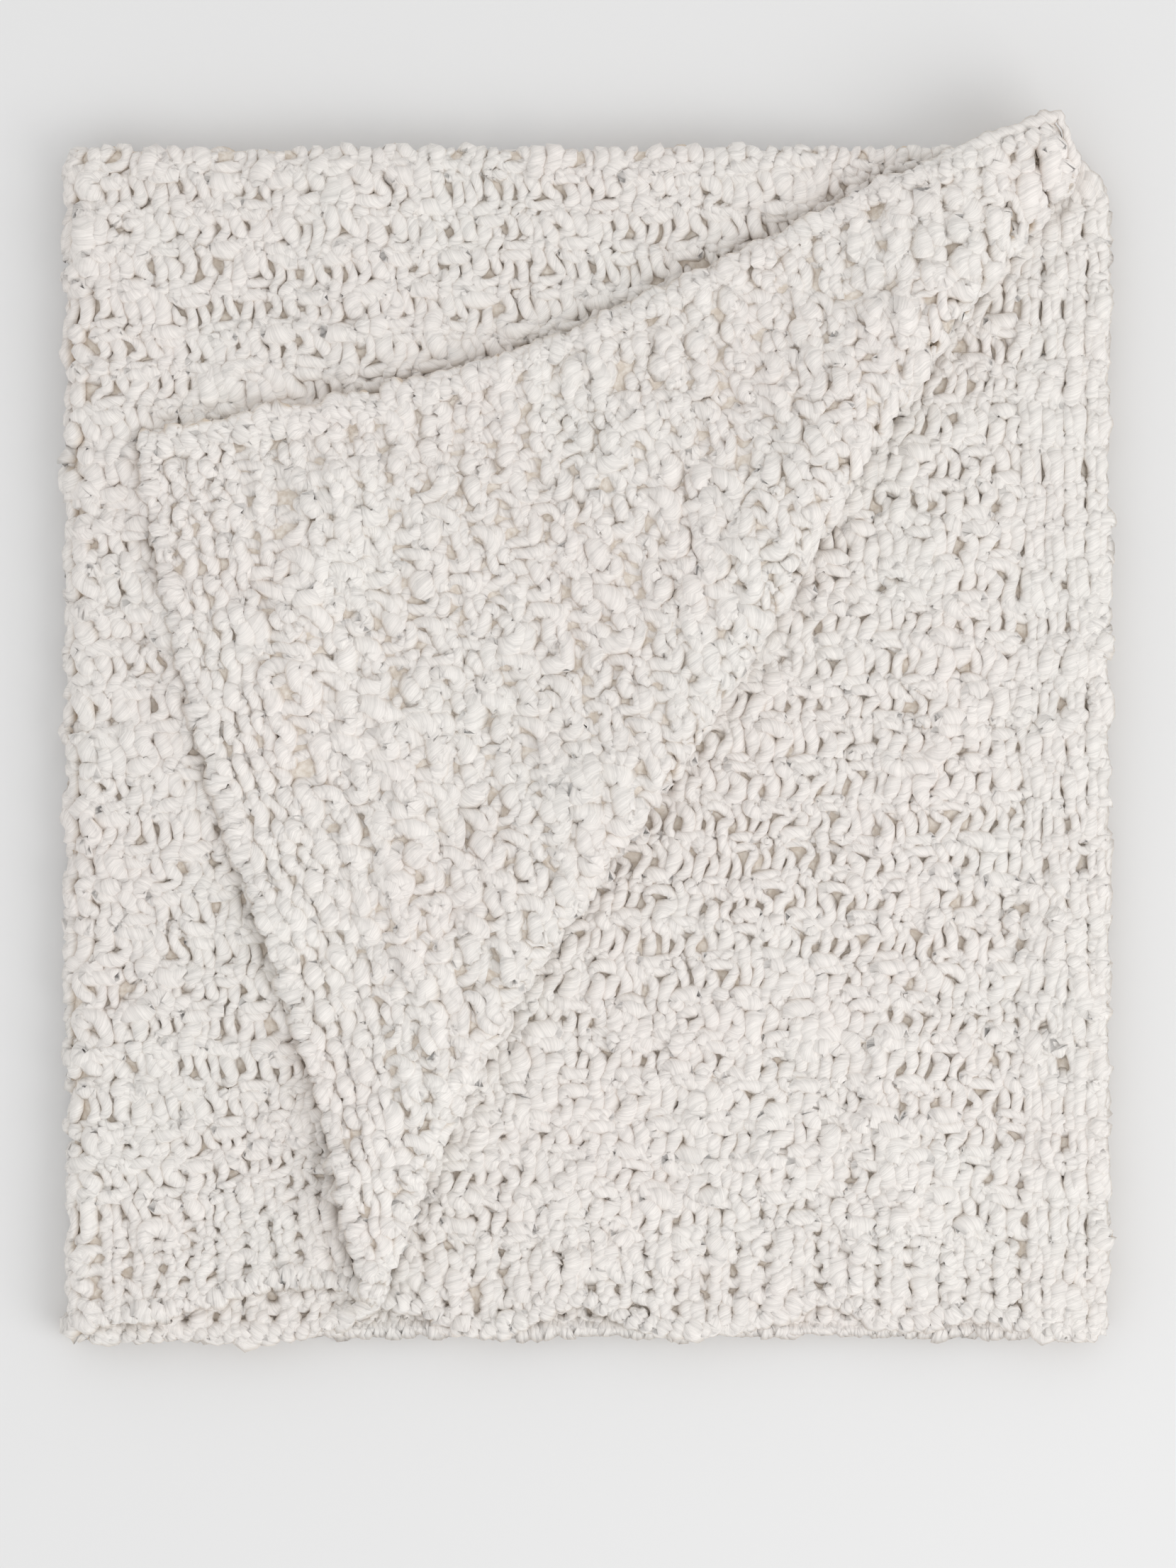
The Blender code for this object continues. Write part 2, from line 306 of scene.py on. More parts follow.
HEM_LINE = FOLD_Y - PANEL_LENGTH / 2 + QUARTER * TOP_RADIUS
SIDE_LINE = FOLD_X + PANEL_WIDTH / 2 - QUARTER * SIDE_RADIUS


def settle(x, y, layers):
    """How the layers lie in plan: hems drawn up here and there, and the top right corner drawn in."""
    lifted = np.zeros_like(y)
    for pull in HEM_PULLS:
        near = layers[pull.layer] * np.exp(-(((x - pull.middle) / pull.width) ** 2))
        lifted += pull.depth * near
    lifted *= 1 - smooth((y - HEM_LINE) / PULL_REACH)
    drawn = CORNER_DRAW * smooth((x - SIDE_LINE + CORNER_WIDTH) / CORNER_WIDTH)
    start = FOLD_Y + CORNER_ABOVE * (1 - layers[1])
    depth = CORNER_ROUND + (CORNER_DEPTH - CORNER_ROUND) * layers[1]
    drawn *= 1 - smooth((start - y) / depth)
    return x - drawn, y + lifted


def crease_frame():
    """The crease's straight line: where it starts, its direction, the way out from it, and its length."""
    first = np.array((SIDE_LINE, CREASE.start[1]))
    last = np.array((CREASE.end[0], HEM_LINE))
    length = np.linalg.norm(last - first)
    run = (last - first) / length
    return first, run, np.array((-run[1], run[0])), length


def past_crease(x, y):
    """How far each point is past the crease, its share of the way from side to hem, and the depth of the corner
    that is turned."""
    first, run, out, length = crease_frame()
    down = (x - first[0]) * run[0] + (y - first[1]) * run[1]
    d = (x - first[0]) * out[0] + (y - first[1]) * out[1]
    corner = np.array((SIDE_LINE, HEM_LINE)) - first
    far, depth = corner.dot(run), corner.dot(out)
    from_side = far * np.clip(d, 0, None) / depth
    from_hem = length + (far - length) * np.clip(d, 0, None) / depth
    return d, np.clip((down - from_side) / np.maximum(from_hem - from_side, 1e-6), 0, 1), depth


def turn_corner(x, y, layers):
    """Turns layer 1's corner back over its crease: (x, y, and the height above layer 1)."""
    first, run, out, length = crease_frame()
    d, share, depth = past_crease(x, y)

    # The crease as it lies, and above it the same line with the tip drawn upward
    low = along(CREASE, share)
    tip = np.array(FLAP_TOP.start) - np.array(CREASE.start)
    near_tip = 1 - smooth(share / TIP_REACH)
    high = low + np.outer(near_tip, tip)

    # Before the crease the layer only follows its bow
    line = first + np.outer(share * length, run)
    straight_x, straight_y = settle(line[:, 0], line[:, 1], layers)
    to_top = share * length * run[1] / out[1]
    reach = np.minimum(CREASE_REACH, CREASE_SLACK + to_top)
    pull = (1 - smooth(-d / reach)) * layers[1]
    plain_x, plain_y = settle(x, y, layers)
    pulled_x = plain_x + pull * (low[:, 0] - straight_x)
    pulled_y = plain_y + pull * (low[:, 1] - straight_y)
    plain = np.stack((pulled_x, pulled_y), axis=1)

    # On the roll it goes round, and past it the flap spans its three edges
    angle = np.clip(d / ROLL_RADIUS, 0, math.pi)
    risen = smooth((angle / math.pi - TIP_DELAY) / (1 - TIP_DELAY))
    roll = low + (high - low) * risen[:, None] + np.outer(ROLL_RADIUS * np.sin(angle), out)
    over = np.clip((d - math.pi * ROLL_RADIUS) / (depth - math.pi * ROLL_RADIUS), 0, 1)
    top, left = along(FLAP_TOP, over), along(FLAP_LEFT, over)
    chord = np.outer(1 - share, FLAP_TOP.start) + np.outer(share, FLAP_LEFT.start)
    flap = top * (1 - share)[:, None] + left * share[:, None] + (high - chord) * (1 - over)[:, None]

    turned = (layers[1] > WHOLLY) & (d > 0)
    on_flap = turned & (angle >= math.pi)
    plan = np.where(on_flap[:, None], flap, np.where(turned[:, None], roll, plain))
    down = smooth((d - math.pi * ROLL_RADIUS - ROLL_FLAT) / ROLL_RUN)
    height = ROLL_RADIUS * (1 - np.cos(angle)) - (2 * ROLL_RADIUS - PITCH) * down
    height += risen * (ridges(FLAP_RIDGES, plan[:, 0], plan[:, 1]) + TIP_LIFT * near_tip)
    return plan[:, 0], plan[:, 1], np.where(turned, height, 0)


def fold(s, t):
    """The folded place of each point s across and t along the flat panel."""
    x, y, z, layers = fold_in_four(s, t)
    x, y, height = turn_corner(x, y, layers)
    level = np.clip((z - CLOTH / 2) / (STACK - CLOTH), 0, 1)
    z = z + level * ridges(LAYER_RIDGES, x, y) + height
    return np.stack((x - MIDDLE_X, y - MIDDLE_Y, z), axis=1)


def facing(s, t):
    """The way that the knit's right side faces, and how far the cloth is stretched there, as an area."""
    step = 0.0006
    across = fold(s + step, t) - fold(s - step, t)
    down = fold(s, t + step) - fold(s, t - step)
    normal = np.cross(down, across)
    size = np.maximum(np.linalg.norm(normal, axis=1), 1e-12)
    return normal / size[:, None], size / (2 * step) ** 2


def column_edges():
    """The columns' edges across the panel, with narrower ribs at both sides."""
    half = PANEL_WIDTH / 2
    rib = [SIDE_WIDTH * k / SIDE_COLUMNS for k in range(SIDE_COLUMNS)]
    body = np.linspace(-half + SIDE_WIDTH, half - SIDE_WIDTH, COLUMNS + 1)
    return np.array([-half + r for r in rib] + list(body) + [half - r for r in reversed(rib)])


def course_heads():
    """The levels of the courses' heads along the panel: even at the hems, else short and tall by turns."""
    half = PANEL_LENGTH / 2
    hem = [HEM_DEPTH * k / HEM_COURSES for k in range(HEM_COURSES + 1)]
    body = PANEL_LENGTH - 2 * HEM_DEPTH
    heads = [-half + FOOT_DROP + YARN] + [-half + h for h in hem[1:]]
    for pair in range(PAIRS):
        low = -half + HEM_DEPTH + body * pair / PAIRS
        heads += [low + SHORT_COURSE, low + body / PAIRS]
    heads += [half - HEM_DEPTH + h for h in hem[1:-1]] + [half - 1.5 * YARN]
    return np.array(heads)


def stitch_table():
    """Knit is +1 and purl is -1, a row for each course and a column for each column."""
    courses, columns = 2 * HEM_COURSES + 2 * PAIRS, COLUMNS + 2 * SIDE_COLUMNS
    kinds = np.ones((courses + 1, columns))
    for pair in range(PAIRS):
        short = HEM_COURSES + 2 * pair
        kinds[short : short + 2, SIDE_COLUMNS + pair % 2 : SIDE_COLUMNS + COLUMNS : 2] = -1
    return kinds


def jog(s, t):
    """Short courses lie a little to one side of the tall ones."""
    pair = (PANEL_LENGTH - 2 * HEM_DEPTH) / PAIRS
    first = HEM_DEPTH - PANEL_LENGTH / 2 + SHORT_COURSE / 2
    away = (t - first + pair / 2) % pair - pair / 2
    within = smooth((PANEL_WIDTH / 2 - SIDE_WIDTH / 2 - np.abs(s)) / SIDE_WIDTH)
    within *= smooth((PANEL_LENGTH / 2 - HEM_DEPTH / 2 - np.abs(t)) / HEM_DEPTH)
    return -JOG * within * np.exp(-((away / JOG_REACH) ** 2))


def wander(s, t):
    """Courses and columns don't run quite straight, except along the edges."""
    within = smooth((PANEL_WIDTH / 2 - np.abs(s)) / SIDE_WIDTH)
    within *= smooth((PANEL_LENGTH / 2 - np.abs(t)) / HEM_DEPTH)
    aside = sum(np.sin(s / wave.s + t / wave.t + wave.start) for wave in ASIDE)
    up = sum(np.sin(s / wave.s + t / wave.t + wave.start) for wave in UP)
    return WANDER * within[..., None] * np.stack((aside, up), axis=-1)


def loops(course, heads, edges, kinds, rng):
    """The yarn's route along one course: (s, t, w) with w towards the right side, POINTS points a loop."""
    before, head = heads[course], heads[course + 1]
    rise = head - before
    middles, halves = (edges[1:] + edges[:-1]) / 2, (edges[1:] - edges[:-1]) / 2
    knit, bar = kinds[course] > 0, kinds[course + 1] < 0
    full = np.ones(len(middles))
    body = HEM_COURSES <= course < len(heads) - 1 - HEM_COURSES
    column = np.arange(len(middles))
    inner = (column >= SIDE_COLUMNS) & (column < SIDE_COLUMNS + COLUMNS)
    apart = np.where(inner, BODY_APART if body else HEM_APART, SIDE_APART)
    shape = (
        # across, up and out, from the foot to the middle of the head
        (full, full * (before - FOOT_DROP), -0.8 * full),
        (apart, full * before, np.where(knit, 1.1, -0.7)),
        (apart, full * (before + 0.45 * rise), np.where(knit, 1.0, 0.8)),
        (
            np.where(bar, 0.82, apart + 0.08),
            head - np.where(bar, 0.36, 0.26) * rise,
            np.where(bar, 0.2, 0.8),
        ),
        (np.where(bar, 0.86, apart + 0.06), full * (head - 0.07 * rise), np.where(bar, 0.3, -0.2)),
        (0 * full, full * head, np.where(bar, 0.8, -1.0)),
    )
    half = np.array(shape)
    both = np.concatenate((half, half[4:0:-1]))
    across = both[:, 0] * np.array((-1, -1, -1, -1, -1, 0, 1, 1, 1, 1))[:, None]
    route = np.empty((len(middles), POINTS, 3))
    route[:, :, 0] = middles[:, None] + across.T * halves[:, None]
    route[:, :, 1] = both[:, 1].T
    route[:, :, 2] = WAVE * both[:, 2].T

    # No two loops are alike
    n = len(middles)
    route[:, :, :2] += rng.normal(0, JITTER, (n, 1, 2)) + rng.normal(0, 0.6 * JITTER, (n, POINTS, 2))
    route[:, :, 2] += rng.normal(0, 0.5 * JITTER, (n, POINTS))
    route[:, :, 0] += jog(route[:, :, 0], route[:, :, 1])
    route[:, :, :2] += wander(route[:, :, 0], route[:, :, 1])
    return route


def finer(points, steps):
    """A Catmull-Rom curve through the points, with so many steps between two of them."""
    if steps == 1:
        return points
    padded = np.concatenate((2 * points[:1] - points[1:2], points, 2 * points[-1:] - points[-2:-1]))
    a, b, c, d = padded[:-3], padded[1:-2], padded[2:-1], padded[3:]
    rows = []
    for k in range(steps):
        u = k / steps
        rows.append(
            0.5 * (2 * b + (c - a) * u + (2 * a - 5 * b + 4 * c - d) * u * u + (3 * b - a - 3 * c + d) * u**3)
        )
    return np.concatenate((np.stack(rows, axis=1).reshape(-1, points.shape[1]), points[-1:]))


def inside(outline, x, y):
    """Which points are inside a closed outline."""
    within = np.zeros(len(x), bool)
    for a, b in zip(outline, np.roll(outline, -1, axis=0)):
        if a[1] == b[1]:
            continue
        crosses = (a[1] > y) != (b[1] > y)
        within ^= crosses & (x < (b[0] - a[0]) * (y - a[1]) / (b[1] - a[1]) + a[0])
    return within


def zones(s, t):
    """The name of the zone in which each loop shows, or an empty one where the layers above hide it."""
    x, y, _, layers = fold_in_four(s, t)
    d, share, _ = past_crease(x, y)
    out = crease_frame()[2]
    settled = np.stack(settle(x, y, layers), axis=1)
    open_by = ((settled - along(CREASE, share)) * out).sum(axis=1)
    steps = np.linspace(0, 1, OUTLINE_STEPS)
    outline = np.concatenate(
        (along(FLAP_TOP, steps), along(FLAP_LEFT, steps)[::-1], along(CREASE, steps)[::-1])
    )
    covered = np.ones(len(s), bool)
    for dx, dy in ((-UNDER_FLAP, 0), (UNDER_FLAP, 0), (0, -UNDER_FLAP), (0, UNDER_FLAP)):
        covered &= inside(outline, settled[:, 0] + dx, settled[:, 1] + dy)
    rim = np.abs(t) > PANEL_LENGTH / 2 - HEM_RIM
    rim |= np.abs(s) > PANEL_WIDTH / 2 - SIDE_RIM
    rim |= np.abs(t) < FOLD_RIM
    names = np.full(len(s), "", dtype=object)
    fold_half = QUARTER * SIDE_RADIUS
    names[(t > 0) & (s > -fold_half) & ((d < 0) & ~covered)] = "upper"
    names[(t > 0) & (s > 0) & (d >= 0)] = "flap"
    names[(t <= 0) & (s > 0) & ((open_by > -UNDER_CREASE) | rim)] = "second"
    names[(t <= 0) & (s <= 0) & rim] = "inner"
    names[(t > 0) & (s <= -fold_half)] = "under"
    return names


def eased(rows):
    """Rows with each one drawn towards its neighbours."""
    rows = rows.copy()
    rows[1:-1] = (rows[:-2] + 2 * rows[1:-1] + rows[2:]) / 4
    return rows


def rings(points, normals, radii, sides, rng):
    """The surface of a yarn: a ring of points round each of its own, closed to a tip at both ends.

    Beside it comes -1 for each ring that lies with its other side up, and 1 for the rest.
    """
    points = eased(points)
    run = eased(np.gradient(points, axis=0))
    step = np.maximum(np.linalg.norm(run, axis=1), SHORTEST_STEP)[:, None]
    run /= np.maximum(np.linalg.norm(run, axis=1), 1e-9)[:, None]
    across = np.cross(run, normals)
    across /= np.maximum(np.linalg.norm(across, axis=1), 1e-9)[:, None]

    # Where the yarn doubles back, its rings keep their side instead of twisting
    back = (across[1:] * across[:-1]).sum(axis=1) < DOUBLES_BACK
    turned = np.cumprod(np.append(1, np.where(back, -1, 1)))
    across *= turned[:, None]
    up = np.cross(across, run)

    # Each ring is lumpy, and like its neighbours. The divisor keeps the lumps' size in spite of that
    lumps = rng.normal(0, LUMPS, (len(points), sides))
    lumps[1:-1] = (lumps[:-2] + 2 * lumps[1:-1] + lumps[2:]) / 2.4
    thick = radii[:, None] * (1 + np.concatenate((lumps, lumps[:, :1]), axis=1))
    thick[0] = thick[-1] = 0
    thick[1] *= TAPER
    thick[-2] *= TAPER
    turn = 2 * math.pi * np.arange(sides + 1) / sides
    around = np.cos(turn)[None, :, None] * across[:, None]
    around = around + FLATNESS * np.sin(turn)[None, :, None] * up[:, None]

    # The inner side of a bend isn't wider than the bend
    inward = (around * (np.gradient(run, axis=0) / step)[:, None]).sum(axis=2)
    thick = np.minimum(thick, INNER_SIDE / np.maximum(inward, 1e-6))
    return points[:, None] + thick[:, :, None] * around, turned


def yarn_piece(name, runs, sides, rng, material):
    """One object of many runs of yarn, each of them (points, normals, radii, loops from the yarn's start)."""
    bm = bmesh.new()
    for points, _, _, _ in runs:
        bmesh.ops.create_grid(bm, x_segments=len(points) - 1, y_segments=sides, size=1)
    mesh = bpy.data.meshes.new(name)
    bm.to_mesh(mesh)
    bm.free()
    grid = np.empty(len(mesh.vertices) * 3, np.float32)
    mesh.vertices.foreach_get("co", grid)
    grid = grid.reshape(-1, 3)
    placed, uv, done = np.empty_like(grid), np.empty((len(grid), 2), np.float32), 0
    for points, normals, radii, far in runs:
        part = slice(done, done + len(points) * (sides + 1))
        along_run = np.rint((grid[part, 0] + 1) / 2 * (len(points) - 1)).astype(int)
        around = np.rint((grid[part, 1] + 1) / 2 * sides).astype(int)
        surface, turned = rings(points, normals, radii, sides, rng)
        placed[part] = surface[along_run, around]
        uv[part] = np.column_stack((far[along_run], around / sides + (turned[along_run] < 0) / 2))
        done = part.stop
    placed[:, 2] = np.maximum(placed[:, 2], FLOOR_GAP)
    mesh.vertices.foreach_set("co", placed.ravel())
    corners = np.empty(len(mesh.loops), np.int32)
    mesh.loops.foreach_get("vertex_index", corners)
    mesh.uv_layers.new(name="UVMap").data.foreach_set("uv", uv[corners].ravel())
    bm = bmesh.new()
    bm.from_mesh(mesh)
    bmesh.ops.remove_doubles(bm, verts=bm.verts, dist=1e-7)
    bm.to_mesh(mesh)
    bm.free()
    mesh.shade_smooth()
    mesh.materials.append(material)
    obj = bpy.data.objects.new(name, mesh)
    bpy.context.scene.collection.objects.link(obj)
    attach(obj, "root")
    return obj


def slubs(n, rng):
    """Thick and thin places along n loops' worth of yarn."""
    total = np.zeros(n * POINTS + 1)
    place = np.arange(n * POINTS + 1) / POINTS
    for slub in SLUBS:
        knots = rng.normal(0, slub.size, int(n / slub.apart) + 4)
        total += np.interp(place / slub.apart + rng.random(), np.arange(len(knots)), knots)
    return np.exp(np.clip(total + rng.normal(0, SLUB_YARN), THINNEST, THICKEST))


def fullness(s, t):
    """The yarn runs thinner in some parts of the panel than in others."""
    total = np.full(len(s), FULLEST)
    for thin in THIN_PLACES:
        away = ((s - thin.s) / thin.wide) ** 2 + ((t - thin.t) / thin.high) ** 2
        total -= thin.less * np.exp(-away)
    return total


def edge_route(start, end, raised, rng):
    """A chain of small stitches along an edge of the panel: (s, t, w) of its points, and their number."""
    (s0, t0), (s1, t1) = start, end
    length = math.hypot(s1 - s0, t1 - t0)
    n = round(length / EDGE_STITCH)
    far = np.arange(n * POINTS + 1) / (n * POINTS)
    turn = 4 * math.pi * np.arange(len(far)) / POINTS
    aside = EDGE_SWING * np.sin(turn) + rng.normal(0, 0.5 * JITTER, len(far))
    s = s0 + (s1 - s0) * far + (t1 - t0) / length * aside
    t = t0 + (t1 - t0) * far + (s1 - s0) / length * aside
    return np.column_stack((s, t, raised + EDGE_SWING * np.cos(turn))), n


def tip_rows(rng):
    """Rows of the border that wrap over the crease at its tip and lie close together there."""
    rows = []
    for k in range(TIP_ROWS):
        s = PANEL_WIDTH / 2 - TIP_INSET - k * TIP_ROW_PITCH
        t = np.arange(0.0, TIP_END, TIP_TRACE)
        x, y, _, _ = fold_in_four(np.full(len(t), s), t)
        t = t[past_crease(x, y)[0] > TIP_START]
        t = t[: TIP_TRACED - TIP_FEWER * k]
        normals = -facing(np.full(len(t), s), t)[0]
        points = fold(np.full(len(t), s), t)
        far = np.concatenate(([0], np.cumsum(np.linalg.norm(np.diff(points, axis=0), axis=1))))
        at = np.arange(0, far[-1], TIP_STEP)
        points = np.column_stack([np.interp(at, far, points[:, axis]) for axis in range(3)])
        normals = np.column_stack([np.interp(at, far, normals[:, axis]) for axis in range(3)])
        run = np.gradient(points, axis=0)
        across = np.cross(run, normals)
        across /= np.linalg.norm(across, axis=1)[:, None]
        turn = 2 * math.pi * (at / TIP_TURN + rng.random())
        sunk = smooth((at - at[-1] + TIP_SINKS) / TIP_SINKS)
        sunk += TIP_FIRST_SUNK * smooth((TIP_FIRST_SINKS - at) / TIP_FIRST_SINKS)
        points += (TIP_SWING * np.sin(turn))[:, None] * across
        points += (TIP_RAISED + TIP_RAISED * np.cos(turn) - TIP_SUNK * sunk)[:, None] * normals
        thick = TIP_FULLNESS * YARN * slubs(len(at) // POINTS + 1, rng)[: len(at)]
        rows.append((points, normals, thick, at / TIP_LOOP))
    return rows


def all_routes(rng):
    """The panel's yarn, course by course and edge by edge: (points, each loop's zone, how full it is)."""
    heads, edges = course_heads(), column_edges()
    kinds = stitch_table()
    middles = (edges[1:] + edges[:-1]) / 2
    routes = []
    for course in range(len(heads) - 1):
        route = loops(course, heads, edges, kinds, rng)
        last = np.array((edges[-1], route[-1, 0, 1], route[-1, 0, 2]))
        names = zones(middles, np.full(len(middles), (heads[course] + heads[course + 1]) / 2))
        routes.append((np.concatenate((route.reshape(-1, 3), last[None])), names, 1.0))
    s, t = PANEL_WIDTH / 2 - EDGE_INSET, PANEL_LENGTH / 2 - EDGE_INSET
    for start, end, raised, full in (
        ((-s, t), (s, t), HEM_RAISED, HEM_FULLNESS),
        ((-s, -t), (s, -t), HEM_RAISED, HEM_FULLNESS),
        ((s, -t), (s, t), 0, EDGE_FULLNESS),
        ((-s, -t), (-s, t), 0, EDGE_FULLNESS),
    ):
        route, n = edge_route(start, end, raised, rng)
        centres = route[POINTS // 2 :: POINTS]
        routes.append((route, zones(centres[:n, 0], centres[:n, 1]), full))
    return routes


def runs_by_zone(rng):
    """The yarn that shows, cut where its zone changes: rows of (s, t, w, radius, loops so far)."""
    runs = {zone: [] for zone in ZONES}
    done = 0
    for points, names, full in all_routes(rng):
        thick = full * YARN * slubs(len(names), rng) * fullness(points[:, 0], points[:, 1])
        yarn = np.column_stack((points, thick, np.arange(len(points)) / POINTS + done))
        done += len(names)
        start = 0
        for k in range(1, len(names) + 1):
            if k < len(names) and names[k] == names[start]:
                continue
            if names[start]:
                runs[names[start]].append(yarn[start * POINTS : k * POINTS + 1])
            start = k
    return runs


def on_cloth(yarn, zone):
    """A run of yarn laid on the folded cloth, in parts where it would leap or the cloth is torn apart."""
    steps, _, face, _ = ZONES[zone]
    s, t, w, radius, far = finer(yarn, steps).T
    normals, stretch = facing(s, t)
    normals *= face
    radius *= np.sqrt(np.clip(stretch, *STRETCH))
    hem = (np.abs(s) > PANEL_WIDTH / 2 - HEM_SHOWN) | (np.abs(t) > PANEL_LENGTH / 2 - HEM_SHOWN)
    away = (hem & (normals[:, 2] < 0)) | (zone == "flap")
    shown = np.where(away[:, None], -normals, normals)
    points = fold(s, t) + normals * w[:, None]
    leaps = np.linalg.norm(np.diff(points, axis=0), axis=1) > LEAP / steps
    torn = stretch > TORN
    ends = np.flatnonzero(leaps | torn[1:] | torn[:-1]) + 1
    parts = [part for part in np.split(np.arange(len(points)), ends) if len(part) >= LEAST_RINGS]
    return [(points[part], shown[part], radius[part], far[part]) for part in parts]


def knit(material):
    """All the yarn that shows, zone by zone."""
    rng = np.random.default_rng(11)
    runs = runs_by_zone(rng)
    made = []
    for zone, (_, sides, _, pieces) in ZONES.items():
        placed = [part for yarn in runs[zone] for part in on_cloth(yarn, zone)]
        if zone == "flap":
            placed += tip_rows(rng)
        share = -(-len(placed) // pieces)
        for k in range(pieces):
            name = f"yarn_{zone}_{k + 1}" if pieces > 1 else f"yarn_{zone}"
            made.append(yarn_piece(name, placed[k * share : (k + 1) * share], sides, rng, material))
    return made


def spread(length, spacing, close):
    """Grid places across a length, close together where the cloth bends at its middle."""
    half = length / 2
    outer = np.linspace(close, half, max(2, round((half - close) / spacing)) + 1)
    inner = np.linspace(-close, close, FOLD_POINTS)
    return np.concatenate((-outer[::-1][:-1], inner, outer[1:]))


def behind(s, t):
    """The ground's place behind the yarn: below it on the upper layers, and above it underneath."""
    x, y, _, layers = fold_in_four(s, t)
    d = past_crease(x, y)[0]
    turned = np.where(layers[1] > WHOLLY, np.cos(np.clip(d / ROLL_RADIUS, 0, math.pi)), 1)
    back = layers[2] - layers[3] - layers[4] - layers[1] * turned
    return fold(s, t) + facing(s, t)[0] * (BEHIND * back)[:, None]


def ground(material):
    """The cloth behind the loops: a thin sheet on the panel's folds, which shows in the knit's gaps."""
    s = spread(PANEL_WIDTH - 2 * GROUND_INSET, GROUND_SPACING, QUARTER * SIDE_RADIUS)
    t = spread(PANEL_LENGTH - 2 * GROUND_INSET, GROUND_SPACING, QUARTER * TOP_RADIUS)
    bm = bmesh.new()
    bmesh.ops.create_grid(bm, x_segments=len(s) - 1, y_segments=len(t) - 1, size=0.5)
    flat = np.array([v.co for v in bm.verts])
    column = np.rint((flat[:, 0] + 0.5) * (len(s) - 1)).astype(int)
    row = np.rint((flat[:, 1] + 0.5) * (len(t) - 1)).astype(int)
    for vert, place in zip(bm.verts, behind(s[column], t[row])):
        vert.co = place
    mesh = bpy.data.meshes.new("ground")
    bm.to_mesh(mesh)
    bm.free()
    mesh.shade_smooth()
    mesh.materials.append(material)
    obj = bpy.data.objects.new("ground", mesh)
    bpy.context.scene.collection.objects.link(obj)
    shell = obj.modifiers.new("Cloth", "SOLIDIFY")
    shell.thickness = GROUND_THICKNESS
    shell.offset = 0
    return obj


